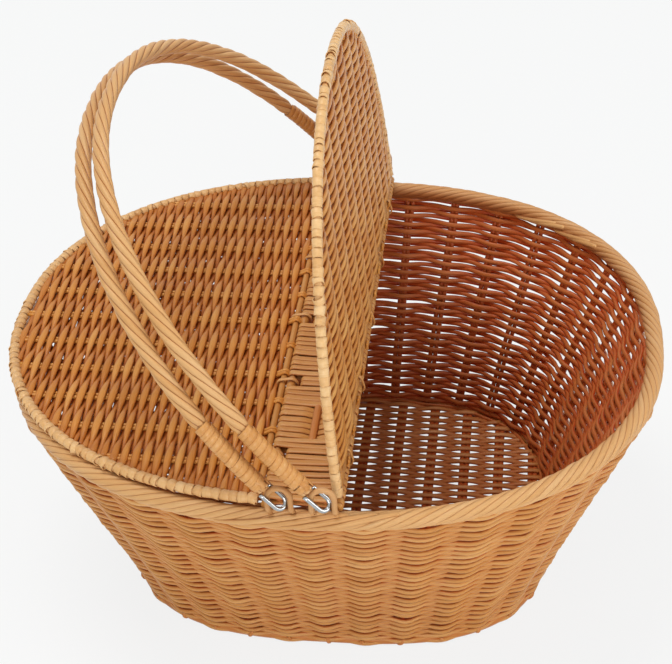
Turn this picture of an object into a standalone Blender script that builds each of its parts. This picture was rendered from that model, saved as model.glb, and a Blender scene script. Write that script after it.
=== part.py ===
"""Oval woven pie basket with two hinged lids and two swinging rope handles.

Metres, +Z up, +X to the right-hand lid, -Y to the front. The origin is the middle of the base's
underside. The left lid is shut, the right lid stands open, and both handles lean to the left.
"""
import math

import bmesh
import bpy
from mathutils import Vector

# Rolled rim: a rope border on an oval whose corners are a little fuller than an ellipse's.
RIM_HALF_LENGTH = 0.190
RIM_HALF_WIDTH = 0.1678
RIM_HEIGHT = 0.1482
RIM_ROPE_RADIUS = 0.0056
RIM_SQUARENESS_SHARE = 2.26

# Base panel and the border plaited round its edge.
BASE_HALF_LENGTH = 0.1362
BASE_HALF_WIDTH = 0.1202
BASE_THICKNESS = 0.0050
BASE_SQUARENESS_SHARE = 2.90
FOOT_RADIUS = 0.0038

# Woven wall between the foot border and the rim.
WALL_THICKNESS = 0.0048
WALL_FLARE_SHARE = 1.12
WALL_FOOT_DROP_SHARE = 0.07
WALL_RIM_DROP_SHARE = 0.22

# Relief of the wall's weave: rows swell where they cross a stake and draw together between two.
WALL_STAKE_COUNT = 36
WALL_STAKE_RELIEF = 0.0026
WALL_RING_SHARES = (0.0, 0.05, 0.275, 0.5, 0.725, 0.95, 1.0)
WALL_RELIEF_SHARES = (0.0, 1.0, 1.0, 1.0, 1.0, 1.0, 0.0)
STEPS_PER_STAKE = 4

# Clear space between pieces that touch, and the overrun of a cut.
SEAT_GAP = 0.0003

# Lids, lying on the rim: hinge rods, the first stick of each lid, and the bent border.
HINGE_LEFT_X = -0.0199
HINGE_RIGHT_X = 0.0185
ROD_RADIUS = 0.00275
ROD_END_CLEARANCE = 0.0013
STICK_RADIUS = 0.00195
LID_END_OVERHANG = 0.0050
LID_SIDE_SETBACK = 0.0043
LID_SQUARENESS_SHARE = 2.22
LID_BORDER_RADIUS = 0.00275
LID_THICKNESS = 0.0044
RIGHT_LID_OPEN_ANGLE = math.radians(95.0)

# Relief of the lids' weave: thick over each rib, thin between ribs and along the border.
LID_RIB_RELIEF = 0.0018
LID_RIB_SPACING_SHARE = 0.1599
LID_RIB_START_SHARE = 0.1394
LID_RIB_LINES = 12
LID_FADE_LENGTH = 0.0130
LID_END_SHARES = (0.997, 0.985, 0.96, 0.93)
LID_LINE_SPACING = 0.0030

# Cane bindings that tie each lid to its rod and turn round it.
BINDING_COUNT = 5
BINDING_SPACING_SHARE = 0.3844
BINDING_RADIUS = 0.0009
BINDING_NOTCH_CLEARANCE = 0.0010

# Bridge: the fixed woven strip between the two rods.
BRIDGE_THICKNESS = 0.0044

# Cane eyes that stand on the rim's crown, lean out and hold the handles.
EYE_RADIUS = 0.0061
EYE_CANE_RADIUS = 0.00165
EYE_CROWN_RISE = 0.0030
EYE_FOOT_OVERHANG = 0.0020
EYE_LEAN_HEIGHT = 0.0070

# Handles: two rope arches side by side, each on its own pivot line just outside the rim.
PIVOT_LIFT = 0.0122
PIVOT_OVERHANG = 0.0062
PIVOT_SPACING = 0.0230
LEFT_HANDLE_RISE = 0.1815
RIGHT_HANDLE_RISE = 0.1960
HANDLE_SQUARENESS_SHARE = 2.17
HANDLE_ROPE_RADIUS = 0.0046
LEFT_HANDLE_LEAN = math.radians(41.0)
RIGHT_HANDLE_LEAN = math.radians(42.4)

# Steel staples that link each handle end to its eye.
STAPLE_WIRE_RADIUS = 0.00125
STAPLE_HALF_WIDTH = 0.0042
STAPLE_DEPTH = 0.0038
STAPLE_TWIST = math.radians(-35.0)

# Flat cane whipping wound round each handle end.
WHIP_TURNS = 12
WHIP_PITCH = 0.0037
WHIP_WIDTH = 0.0031
WHIP_THICKNESS = 0.0009
WHIP_CORE_RADIUS = 0.0038
WHIP_TAPER_LENGTH = 0.0040

# Counts of points and sides.
OVAL_STEPS = 56
ROPE_SIDES_RESOLUTION = 3
THIN_SIDES_RESOLUTION = 1
ROUND_SIDES = 12
HANDLE_STEPS = 44
WHIP_STEPS_PER_TURN = 12
EYE_ARC_STEPS = 8
BINDING_ARC_STEPS = 6
LID_ARC_STEPS = 36
EYE_LEG_STEPS = 4
FINE_STEPS_PER_STEP = 8
HANDLE_FINE_STEPS = 704
HANDLE_PATH_STEPS = 352

# Shares and angles used by the helpers.
WHIP_PLACE_SHARES = (0.0, 1.0 / 3.0, 2.0 / 3.0, 1.0)
STAKE_SWELL_MIDDLE_SHARE = 0.5
SHARP_EDGE_ANGLE = math.radians(40.0)
QUARTER_TURN = math.pi / 2
WELD_DISTANCE = 0.00003

# Names and directions of the paired pieces.
SIDES = (("left", -1.0), ("right", 1.0))
ENDS = (("front", -1.0), ("back", 1.0))

# Sizes that follow from the ones above.
RIM_TOP = RIM_HEIGHT + RIM_ROPE_RADIUS
LID_LEVEL = RIM_TOP + SEAT_GAP + LID_BORDER_RADIUS
ROD_LEVEL = RIM_TOP + SEAT_GAP + ROD_RADIUS
ROD_TO_STICK = ROD_RADIUS + SEAT_GAP + STICK_RADIUS
ROD_HALF_LENGTH = RIM_HALF_WIDTH - ROD_END_CLEARANCE
BINDING_SPACING = ROD_HALF_LENGTH * BINDING_SPACING_SHARE
LID_HALF_LENGTH = RIM_HALF_LENGTH + LID_END_OVERHANG
LID_HALF_WIDTH = RIM_HALF_WIDTH - LID_SIDE_SETBACK
PIVOT_HEIGHT = RIM_TOP + PIVOT_LIFT
PIVOT_HALF_WIDTH = RIM_HALF_WIDTH + PIVOT_OVERHANG
EYE_FOOT_HALF_WIDTH = RIM_HALF_WIDTH + EYE_FOOT_OVERHANG
BINDING_ROD_RADIUS = ROD_RADIUS + SEAT_GAP + BINDING_RADIUS
BINDING_STICK_RADIUS = STICK_RADIUS + SEAT_GAP + BINDING_RADIUS
HANDLE_START = EYE_CROWN_RISE + EYE_RADIUS + EYE_CANE_RADIUS + 2 * SEAT_GAP


def clear_scene():
    for item in list(bpy.data.objects):
        bpy.data.objects.remove(item, do_unlink=True)


def new_collection(name):
    collection = bpy.data.collections.new(name)
    bpy.context.scene.collection.children.link(collection)
    return collection


def make_material(name, colour, roughness, metallic=0.0):
    material = bpy.data.materials.new(name)
    material.use_nodes = True
    shader = material.node_tree.nodes["Principled BSDF"]
    shader.inputs["Base Color"].default_value = (*colour, 1.0)
    shader.inputs["Roughness"].default_value = roughness
    shader.inputs["Metallic"].default_value = metallic
    return material


def add_object(name, data, material, parent=None):
    item = bpy.data.objects.new(name, data)
    item.data.materials.append(material)
    PARTS.objects.link(item)
    if parent is not None:
        item.parent = parent
    return item


def signed_power(value, power):
    return math.copysign(abs(value) ** power, value)


def oval_point(half_x, half_y, squareness, angle):
    """One point of an oval with fuller corners; squareness 2 is a plain ellipse."""
    power = 2.0 / squareness
    return (half_x * signed_power(math.cos(angle), power),
            half_y * signed_power(math.sin(angle), power))


def spread_evenly(points, count):
    """The same polyline with count points at equal steps along it."""
    steps = [0.0]
    for before, after in zip(points, points[1:]):
        steps.append(steps[-1] + (after - before).length)
    result = []
    index = 0
    for number in range(count):
        target = steps[-1] * number / (count - 1)
        while index < len(points) - 2 and steps[index + 1] < target:
            index += 1
        share = (target - steps[index]) / (steps[index + 1] - steps[index])
        result.append(points[index].lerp(points[index + 1], share))
    return result


def oval_ring(half_x, half_y, height, squareness, count):
    """A closed oval as count points, evenly spread, first point not repeated."""
    fine = []
    fine_count = FINE_STEPS_PER_STEP * count
    for number in range(fine_count + 1):
        x, y = oval_point(half_x, half_y, squareness, 2 * math.pi * number / fine_count)
        fine.append(Vector((x, y, height)))
    return spread_evenly(fine, count + 1)[:-1]


def tube(name, points, radius, material, resolution, closed=False, parent=None, radii=None):
    """A round tube along a polyline, with filled ends."""
    curve = bpy.data.curves.new(name, "CURVE")
    curve.dimensions = "3D"
    curve.bevel_depth = radius
    curve.bevel_resolution = resolution
    curve.use_fill_caps = True
    curve.render_resolution_u = 0
    spline = curve.splines.new("POLY")
    spline.points.add(len(points) - 1)
    for number, point in enumerate(points):
        spline.points[number].co = (*point, 1.0)
        if radii is not None:
            spline.points[number].radius = radii[number]
    spline.use_cyclic_u = closed
    spline.use_smooth = True
    return add_object(name, curve, material, parent)


def plate(name, outline, level, thickness, material, parent=None):
    """A flat panel from a closed outline, centred on the level."""
    curve = bpy.data.curves.new(name, "CURVE")
    curve.dimensions = "2D"
    curve.fill_mode = "BOTH"
    curve.extrude = thickness / 2
    curve.render_resolution_u = 0
    spline = curve.splines.new("POLY")
    spline.points.add(len(outline) - 1)
    for number, point in enumerate(outline):
        spline.points[number].co = (point[0], point[1], 0.0, 1.0)
    spline.use_cyclic_u = True
    item = add_object(name, curve, material, parent)
    item.location.z = level
    weld = item.modifiers.new("Weld", "WELD")
    weld.merge_threshold = WELD_DISTANCE
    return item


def rod(name, radius, length, x, level, material, parent=None):
    """A straight round stick along Y."""
    mesh = bpy.data.meshes.new(name)
    shape = bmesh.new()
    bmesh.ops.create_cone(shape, cap_ends=True, segments=ROUND_SIDES, radius1=radius,
                          radius2=radius, depth=length)
    shape.to_mesh(mesh)
    shape.free()
    mesh.shade_smooth()
    mesh.set_sharp_from_angle(angle=SHARP_EDGE_ANGLE)
    item = add_object(name, mesh, material, parent)
    item.rotation_euler.x = QUARTER_TURN
    item.location = (x, 0.0, level)
    return item


def lofted(name, rings, material, parent=None, closed=False, capped=True):
    """A skin over rings of equal count; its open ends are capped on request."""
    shape = bmesh.new()
    rows = [[shape.verts.new(point) for point in ring] for ring in rings]
    count = len(rows[0])
    pairs = list(zip(rows, rows[1:]))
    if closed:
        pairs.append((rows[-1], rows[0]))
    for lower, upper in pairs:
        for number in range(count):
            after = (number + 1) % count
            shape.faces.new((lower[number], lower[after], upper[after], upper[number]))
    if capped:
        shape.faces.new(list(reversed(rows[0])))
        shape.faces.new(rows[-1])
    bmesh.ops.recalc_face_normals(shape, faces=shape.faces)
    mesh = bpy.data.meshes.new(name)
    shape.to_mesh(mesh)
    shape.free()
    mesh.shade_smooth()
    mesh.set_sharp_from_angle(angle=SHARP_EDGE_ANGLE)
    return add_object(name, mesh, material, parent)


def make_base(material):
    """The flat woven panel, inside the border that is plaited round its edge."""
    inset = 2 * FOOT_RADIUS + SEAT_GAP
    outline = oval_ring(BASE_HALF_LENGTH - inset, BASE_HALF_WIDTH - inset, 0.0,
                        BASE_SQUARENESS_SHARE, OVAL_STEPS)
    plate("base_weave", outline, BASE_THICKNESS / 2, BASE_THICKNESS, material)


def make_foot(material):
    ring = oval_ring(BASE_HALF_LENGTH - FOOT_RADIUS, BASE_HALF_WIDTH - FOOT_RADIUS, FOOT_RADIUS,
                     BASE_SQUARENESS_SHARE, OVAL_STEPS)
    tube("foot_border", ring, FOOT_RADIUS, material, THIN_SIDES_RESOLUTION + 1, closed=True)


def wall_swell(number, relief_share):
    """Half the wall's thickness at one step round it: most on a stake, least between two."""
    swell = abs(math.cos(math.pi * number / STEPS_PER_STAKE)) - STAKE_SWELL_MIDDLE_SHARE
    return WALL_THICKNESS / 2 + WALL_STAKE_RELIEF * swell * relief_share


def make_wall(material):
    """The flared wall between two ovals, fluted on both faces where the rows cross the stakes."""
    low = 2 * FOOT_RADIUS + SEAT_GAP + WALL_THICKNESS * WALL_FOOT_DROP_SHARE
    high = RIM_HEIGHT - RIM_ROPE_RADIUS - SEAT_GAP - WALL_THICKNESS * WALL_RIM_DROP_SHARE
    foot_x = BASE_HALF_LENGTH - FOOT_RADIUS
    foot_y = BASE_HALF_WIDTH - FOOT_RADIUS
    count = WALL_STAKE_COUNT * STEPS_PER_STAKE
    middles = []
    for share in WALL_RING_SHARES:
        spread = share ** WALL_FLARE_SHARE
        squareness = BASE_SQUARENESS_SHARE + (RIM_SQUARENESS_SHARE - BASE_SQUARENESS_SHARE) * share
        middles.append(oval_ring(foot_x + (RIM_HALF_LENGTH - foot_x) * spread,
                                 foot_y + (RIM_HALF_WIDTH - foot_y) * spread,
                                 low + (high - low) * share, squareness, count))
    outer = []
    inner = []
    last = len(middles) - 1
    for index, ring in enumerate(middles):
        below = middles[max(index - 1, 0)]
        above = middles[min(index + 1, last)]
        outer.append([])
        inner.append([])
        for number, point in enumerate(ring):
            along = ring[(number + 1) % count] - ring[number - 1]
            out = along.cross(above[number] - below[number]).normalized()
            half = wall_swell(number, WALL_RELIEF_SHARES[index])
            outer[-1].append(point + out * half)
            inner[-1].append(point - out * half)
    lofted("wall_weave", outer + list(reversed(inner)), material, closed=True, capped=False)


def make_rim(material):
    ring = oval_ring(RIM_HALF_LENGTH, RIM_HALF_WIDTH, RIM_HEIGHT, RIM_SQUARENESS_SHARE, OVAL_STEPS)
    tube("rim_border", ring, RIM_ROPE_RADIUS, material, ROPE_SIDES_RESOLUTION, closed=True)


def binding_places():
    first = -(BINDING_COUNT - 1) / 2
    return [(first + number) * BINDING_SPACING for number in range(BINDING_COUNT)]


def notched_edge(edge_x, notch_x):
    """A straight edge from -Y to +Y with a notch at each binding, without its two ends."""
    half = BINDING_RADIUS + BINDING_NOTCH_CLEARANCE
    points = []
    for place in binding_places():
        points += [(edge_x, place - half), (notch_x, place - half),
                   (notch_x, place + half), (edge_x, place + half)]
    return points


def make_bridge(material):
    """The fixed strip: it butts against both rods and is notched where the bindings turn."""
    edge = ROD_RADIUS + SEAT_GAP
    notch = BINDING_ROD_RADIUS + BINDING_RADIUS + BINDING_NOTCH_CLEARANCE
    left = [(HINGE_LEFT_X + edge, -ROD_HALF_LENGTH)]
    left += notched_edge(HINGE_LEFT_X + edge, HINGE_LEFT_X + notch)
    left += [(HINGE_LEFT_X + edge, ROD_HALF_LENGTH)]
    right = [(HINGE_RIGHT_X - edge, -ROD_HALF_LENGTH)]
    right += notched_edge(HINGE_RIGHT_X - edge, HINGE_RIGHT_X - notch)
    right += [(HINGE_RIGHT_X - edge, ROD_HALF_LENGTH)]
    level = RIM_TOP + SEAT_GAP + BRIDGE_THICKNESS / 2
    plate("bridge_weave", right + list(reversed(left)), level, BRIDGE_THICKNESS, material)
    rod("left_hinge_rod", ROD_RADIUS, 2 * ROD_HALF_LENGTH, HINGE_LEFT_X, ROD_LEVEL, material)
    rod("right_hinge_rod", ROD_RADIUS, 2 * ROD_HALF_LENGTH, HINGE_RIGHT_X, ROD_LEVEL, material)


def lid_half_width(x, inset):
    """Half the lid's width at a distance x from the basket's middle, along its inset outline."""
    half_x = LID_HALF_LENGTH - inset
    half_y = LID_HALF_WIDTH - inset
    share = max(0.0, 1.0 - (x / half_x) ** LID_SQUARENESS_SHARE)
    return half_y * share ** (1.0 / LID_SQUARENESS_SHARE)


def lid_arc(start_x, inset, count):
    """The bent outline from the front corner round to the back corner, on the +X side."""
    half_x = LID_HALF_LENGTH - inset
    half_y = LID_HALF_WIDTH - inset
    start = Vector((start_x, -lid_half_width(start_x, inset), 0.0))
    fine = [start]
    fine_count = FINE_STEPS_PER_STEP * count
    for number in range(fine_count + 1):
        angle = -QUARTER_TURN + math.pi * number / fine_count
        x, y = oval_point(half_x, half_y, LID_SQUARENESS_SHARE, angle)
        if x > start_x:
            fine.append(Vector((x, y, 0.0)))
    fine.append(Vector((start_x, -start.y, 0.0)))
    return spread_evenly(fine, count)


def lid_reach(y, inset):
    """How far the lid reaches from the basket's middle at a distance y from its centre line."""
    half_x = LID_HALF_LENGTH - inset
    half_y = LID_HALF_WIDTH - inset
    share = max(0.0, 1.0 - abs(y / half_y) ** LID_SQUARENESS_SHARE)
    return half_x * share ** (1.0 / LID_SQUARENESS_SHARE)


def lid_lines(edge_x, notch_x, reach_y):
    """Places across the lid, front to back, each with the x where the panel's hinge edge lies."""
    half = BINDING_RADIUS + BINDING_NOTCH_CLEARANCE
    lines = []
    for place in binding_places():
        lines += [(place - half - SEAT_GAP, edge_x), (place - half, notch_x),
                  (place + half, notch_x), (place + half + SEAT_GAP, edge_x)]
    ends = [reach_y * share * sign for share in LID_END_SHARES for sign in (-1.0, 1.0)]
    spacing = LID_HALF_WIDTH * LID_RIB_SPACING_SHARE / 2
    start = LID_HALF_WIDTH * LID_RIB_START_SHARE
    ribs = [start + spacing * number for number in range(-LID_RIB_LINES - 2, LID_RIB_LINES)]
    for y in ends + ribs:
        inside = abs(y) <= reach_y * LID_END_SHARES[0]
        if inside and min(abs(y - line[0]) for line in lines) > LID_LINE_SPACING:
            lines.append((y, edge_x))
    return sorted(lines)


def lid_sections(edge_x, notch_x, inset):
    """Six-cornered sections of the panel: thick on a rib, thin between ribs and at the border."""
    reach_y = lid_half_width(edge_x, inset)
    spacing = LID_HALF_WIDTH * LID_RIB_SPACING_SHARE
    start = LID_HALF_WIDTH * LID_RIB_START_SHARE
    thin = (LID_THICKNESS - LID_RIB_RELIEF) / 2
    sections = []
    for y, near_x in lid_lines(edge_x, notch_x, reach_y):
        far_x = lid_reach(y, inset)
        fade_x = max(far_x - LID_FADE_LENGTH, (near_x + far_x) / 2)
        fade = min(1.0, (reach_y - abs(y)) / LID_FADE_LENGTH)
        swell = abs(1.0 - 2.0 * (((y - start) / spacing) % 1.0))
        thick = thin + LID_RIB_RELIEF * swell * fade
        sections.append([Vector((near_x, y, thick)), Vector((fade_x, y, thick)),
                         Vector((far_x, y, thin)), Vector((far_x, y, -thin)),
                         Vector((fade_x, y, -thick)), Vector((near_x, y, -thick))])
    return sections


def binding_loop():
    """An egg-shaped loop round the rod, at the origin, and the lid's first stick, towards +X."""
    slope = math.asin((BINDING_ROD_RADIUS - BINDING_STICK_RADIUS) / ROD_TO_STICK)
    points = []
    for number in range(BINDING_ARC_STEPS + 1):
        angle = QUARTER_TURN - slope + (math.pi + 2 * slope) * number / BINDING_ARC_STEPS
        points.append(Vector((BINDING_ROD_RADIUS * math.cos(angle), 0.0,
                              BINDING_ROD_RADIUS * math.sin(angle))))
    for number in range(BINDING_ARC_STEPS + 1):
        angle = -QUARTER_TURN + slope + (math.pi - 2 * slope) * number / BINDING_ARC_STEPS
        points.append(Vector((ROD_TO_STICK + BINDING_STICK_RADIUS * math.cos(angle), 0.0,
                              BINDING_STICK_RADIUS * math.sin(angle))))
    return points


def make_lid(side, hinge_x, direction, open_angle, weave, cane):
    """One lid. It is drawn shut, towards +X, then mirrored and turned about its hinge rod."""
    hinge = bpy.data.objects.new(side + "_lid_hinge", None)
    PARTS.objects.link(hinge)
    hinge.location = (hinge_x, 0.0, ROD_LEVEL)
    hinge.rotation_euler.y = -direction * open_angle
    offset = abs(hinge_x)
    flip = Vector((direction, 1.0, 1.0))
    level = LID_LEVEL - ROD_LEVEL

    def placed(points, lift=0.0):
        return [Vector(((p.x - offset) * flip.x, p.y, p.z + lift)) for p in points]

    border = lid_arc(offset + ROD_TO_STICK, 0.0, LID_ARC_STEPS)
    tube(side + "_lid_border", placed(border, level), LID_BORDER_RADIUS, cane,
         THIN_SIDES_RESOLUTION + 1, parent=hinge)

    stick_half = lid_half_width(offset + ROD_TO_STICK, 0.0) - LID_BORDER_RADIUS - SEAT_GAP
    rod(side + "_lid_stick", STICK_RADIUS, 2 * stick_half, direction * ROD_TO_STICK, level,
        cane, hinge)

    inset = LID_BORDER_RADIUS + SEAT_GAP
    edge_x = offset + ROD_TO_STICK + STICK_RADIUS + SEAT_GAP
    notch_x = offset + ROD_TO_STICK + BINDING_STICK_RADIUS + BINDING_RADIUS + SEAT_GAP
    sections = [placed(section, level) for section in lid_sections(edge_x, notch_x, inset)]
    lofted(side + "_lid_weave", sections, weave, hinge)

    for number, place in enumerate(binding_places()):
        loop = [Vector((p.x * flip.x, place, p.z)) for p in binding_loop()]
        tube("%s_lid_binding_%d" % (side, number + 1), loop, BINDING_RADIUS, cane,
             THIN_SIDES_RESOLUTION, closed=True, parent=hinge)


def eye_points(x, end):
    """A cane eye: it rises from the rim's crown, leans out under the pivot, and arches over it."""
    foot_z = RIM_TOP + SEAT_GAP
    crown_z = PIVOT_HEIGHT + EYE_CROWN_RISE
    points = []
    for step in range(EYE_LEG_STEPS):
        leg_z = foot_z + (crown_z - foot_z) * step / EYE_LEG_STEPS
        points.append(Vector((EYE_RADIUS, 0.0, leg_z)))
    for step in range(EYE_ARC_STEPS + 1):
        angle = math.pi * step / EYE_ARC_STEPS
        points.append(Vector((EYE_RADIUS * math.cos(angle), 0.0,
                              crown_z + EYE_RADIUS * math.sin(angle))))
    for step in reversed(range(EYE_LEG_STEPS)):
        leg_z = foot_z + (crown_z - foot_z) * step / EYE_LEG_STEPS
        points.append(Vector((-EYE_RADIUS, 0.0, leg_z)))
    for point in points:
        share = min(1.0, (point.z - foot_z) / EYE_LEAN_HEIGHT)
        lean = share * share * (3.0 - 2.0 * share)
        point.y = end * (EYE_FOOT_HALF_WIDTH + (PIVOT_HALF_WIDTH - EYE_FOOT_HALF_WIDTH) * lean)
        point.x += x
    return points


def make_eyes(cane):
    for side, direction in SIDES:
        for place, end in ENDS:
            tube("%s_%s_eye" % (side, place), eye_points(direction * PIVOT_SPACING / 2, end),
                 EYE_CANE_RADIUS, cane, THIN_SIDES_RESOLUTION + 1)


def handle_path(rise):
    """The upright arch from the front end round to the back end, about its pivot line."""
    fine = []
    for number in range(HANDLE_FINE_STEPS + 1):
        angle = math.pi * number / HANDLE_FINE_STEPS
        y, z = oval_point(PIVOT_HALF_WIDTH, rise, HANDLE_SQUARENESS_SHARE, angle)
        if z > HANDLE_START:
            fine.append(Vector((0.0, -y, z)))
    return spread_evenly(fine, HANDLE_PATH_STEPS + 1)


def handle_core_points(path):
    """Points along the arch, denser at its ends, with the core's radius drawn in there."""
    whip_length = WHIP_TURNS * WHIP_PITCH + WHIP_WIDTH
    total = sum((b - a).length for a, b in zip(path, path[1:]))
    ends = [whip_length * share for share in WHIP_PLACE_SHARES]
    ends.append(whip_length + WHIP_TAPER_LENGTH)
    middle = HANDLE_STEPS - 2 * len(ends)
    first = ends[-1]
    span = total - 2 * first
    places = list(ends)
    places += [first + span * (number + 1) / (middle + 1) for number in range(middle)]
    places += [total - place for place in reversed(ends)]
    thin_share = WHIP_CORE_RADIUS / HANDLE_ROPE_RADIUS
    points = []
    radii = []
    for place in places:
        points.append(point_along(path, place)[0])
        wound = min(place, total - place) <= whip_length + SEAT_GAP
        radii.append(thin_share if wound else 1.0)
    return points, radii


def point_along(path, distance):
    """The point and the direction at a distance along an evenly stepped path."""
    step = (path[1] - path[0]).length
    index = min(int(distance / step), len(path) - 2)
    share = distance / step - index
    direction = (path[index + 1] - path[index]).normalized()
    return path[index].lerp(path[index + 1], share), direction


def whip_sections(path):
    """Four-cornered sections of one flat strap that winds round the start of the path."""
    radius = WHIP_CORE_RADIUS + SEAT_GAP + WHIP_THICKNESS / 2
    sections = []
    count = WHIP_TURNS * WHIP_STEPS_PER_TURN
    for number in range(count + 1):
        distance = WHIP_WIDTH / 2 + WHIP_TURNS * WHIP_PITCH * number / count
        centre, along = point_along(path, distance)
        across = Vector((1.0, 0.0, 0.0))
        inward = along.cross(across)
        angle = 2 * math.pi * number / WHIP_STEPS_PER_TURN
        out = across * math.cos(angle) + inward * math.sin(angle)
        middle = centre + out * radius
        corners = []
        for side_share, lift_share in ((-1, -1), (1, -1), (1, 1), (-1, 1)):
            corners.append(middle + along * side_share * WHIP_WIDTH / 2
                           + out * lift_share * WHIP_THICKNESS / 2)
        sections.append(corners)
    return sections


def least_turn_gap(sections):
    """The least space between one turn of the strap and the next."""
    least = math.inf
    for number in range(len(sections) - WHIP_STEPS_PER_TURN):
        here = sections[number]
        after = sections[number + WHIP_STEPS_PER_TURN]
        least = min(least, (here[1] - after[0]).length, (here[2] - after[3]).length)
    return least


def staple_points(end):
    """A steel staple about the pivot: two legs into the handle's end, a bend inside the eye."""
    top = HANDLE_START - SEAT_GAP
    across = Vector((math.sin(STAPLE_TWIST), end * math.cos(STAPLE_TWIST), 0.0))
    middle = Vector((0.0, end * PIVOT_HALF_WIDTH, 0.0))
    points = [middle + across * STAPLE_HALF_WIDTH + Vector((0.0, 0.0, top))]
    for step in range(EYE_ARC_STEPS + 1):
        angle = math.pi * step / EYE_ARC_STEPS
        points.append(middle + across * STAPLE_HALF_WIDTH * math.cos(angle)
                      - Vector((0.0, 0.0, STAPLE_DEPTH * math.sin(angle))))
    points.append(middle - across * STAPLE_HALF_WIDTH + Vector((0.0, 0.0, top)))
    return points


def make_handle(side, direction, rise, lean, rope, cane, steel):
    pivot = bpy.data.objects.new(side + "_handle_pivot", None)
    PARTS.objects.link(pivot)
    pivot.location = (direction * PIVOT_SPACING / 2, 0.0, PIVOT_HEIGHT)
    pivot.rotation_euler.y = -lean
    path = handle_path(rise)
    points, radii = handle_core_points(path)
    tube(side + "_handle_rope", points, HANDLE_ROPE_RADIUS, rope, ROPE_SIDES_RESOLUTION,
         parent=pivot, radii=radii)
    backwards = list(reversed(path))
    for (place, end), start in zip(ENDS, (path, backwards)):
        sections = whip_sections(start)
        print("%s %s whipping, least gap %.2f mm" % (side, place, 1000 * least_turn_gap(sections)))
        lofted("%s_%s_whipping" % (side, place), sections, cane, pivot)
        tube("%s_%s_staple" % (side, place), staple_points(end), STAPLE_WIRE_RADIUS, steel,
             THIN_SIDES_RESOLUTION + 1, parent=pivot)


clear_scene()
PARTS = new_collection("pie_basket")

weave_cane = make_material("woven_cane", (0.52, 0.25, 0.09), 0.45)
rope_cane = make_material("rope_cane", (0.60, 0.32, 0.12), 0.42)
binding_cane = make_material("binding_cane", (0.68, 0.42, 0.19), 0.40)
bright_steel = make_material("bright_steel", (0.78, 0.79, 0.80), 0.20, 1.0)

make_base(weave_cane)
make_foot(rope_cane)
make_wall(weave_cane)
make_rim(rope_cane)
make_bridge(weave_cane)
make_lid("left", HINGE_LEFT_X, -1.0, 0.0, weave_cane, binding_cane)
make_lid("right", HINGE_RIGHT_X, 1.0, RIGHT_LID_OPEN_ANGLE, weave_cane, binding_cane)
make_eyes(rope_cane)
make_handle("left", -1.0, LEFT_HANDLE_RISE, LEFT_HANDLE_LEAN, rope_cane, binding_cane, bright_steel)
make_handle("right", 1.0, RIGHT_HANDLE_RISE, RIGHT_HANDLE_LEAN, rope_cane, binding_cane,
            bright_steel)
bpy.context.view_layer.update()
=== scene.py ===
"""Looks of the oval woven pie basket: every strand of cane is a swept tube, in the CAD's frame."""
import math

import bpy
import numpy as np
from mathutils import Matrix, Vector


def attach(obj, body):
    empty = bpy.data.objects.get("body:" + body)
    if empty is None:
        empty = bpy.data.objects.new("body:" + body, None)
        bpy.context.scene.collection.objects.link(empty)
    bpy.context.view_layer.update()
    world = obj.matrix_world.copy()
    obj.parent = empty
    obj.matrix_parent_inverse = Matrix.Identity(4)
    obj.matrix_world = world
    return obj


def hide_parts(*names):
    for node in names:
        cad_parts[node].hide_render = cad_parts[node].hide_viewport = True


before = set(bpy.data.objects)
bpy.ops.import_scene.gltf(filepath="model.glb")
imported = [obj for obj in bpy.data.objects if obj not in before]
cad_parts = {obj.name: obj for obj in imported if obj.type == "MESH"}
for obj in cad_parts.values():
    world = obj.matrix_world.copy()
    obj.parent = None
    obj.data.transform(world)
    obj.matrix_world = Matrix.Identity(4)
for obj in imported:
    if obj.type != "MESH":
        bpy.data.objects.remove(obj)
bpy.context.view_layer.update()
RANDOM = np.random.default_rng(11)

# Sizes repeated from the CAD source, in metres.
RIM_X, RIM_Y, RIM_Z, RIM_R, RIM_SQ = 0.190, 0.1678, 0.1482, 0.0056, 2.26
BASE_X, BASE_Y, BASE_SQ, FOOT_R = 0.1362, 0.1202, 2.90, 0.0038
WALL_LOW, WALL_HIGH = 0.008236, 0.141244
WALL_FLARE = 1.12
LEVEL = 0.15685
ROD_X = {"left": -0.0199, "right": 0.0185}
ROD_R, STICK_R, ROD_TO_STICK, ROD_HALF = 0.00275, 0.00195, 0.0050, 0.1665
LID_X, LID_Y, LID_SQ, LID_BORDER_R = 0.195, 0.1635, 2.22, 0.00275
BINDING_STEP, BINDING_R = 0.0640, 0.0009
PIVOT_Z, PIVOT_Y, PIVOT_X = 0.166, 0.174, 0.0115
EYE_R, EYE_FOOT_Y, EYE_FOOT_Z, EYE_CROWN_Z = 0.0061, 0.1698, 0.1541, 0.169
RISE = {"left": 0.1815, "right": 0.1960}
LEAN = {"left": math.radians(41.0), "right": math.radians(42.4)}
HANDLE_SQ, HANDLE_R, HANDLE_START = 2.17, 0.0046, 0.01135
DIRECTION = {"left": -1.0, "right": 1.0}
OPEN = {"left": 0.0, "right": math.radians(95.0)}
WHIP_TURNS, WHIP_PITCH = 12, 0.0037
STAPLE_TWIST = math.radians(-35.0)
STAKES, ROWS = 36, 50

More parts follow.
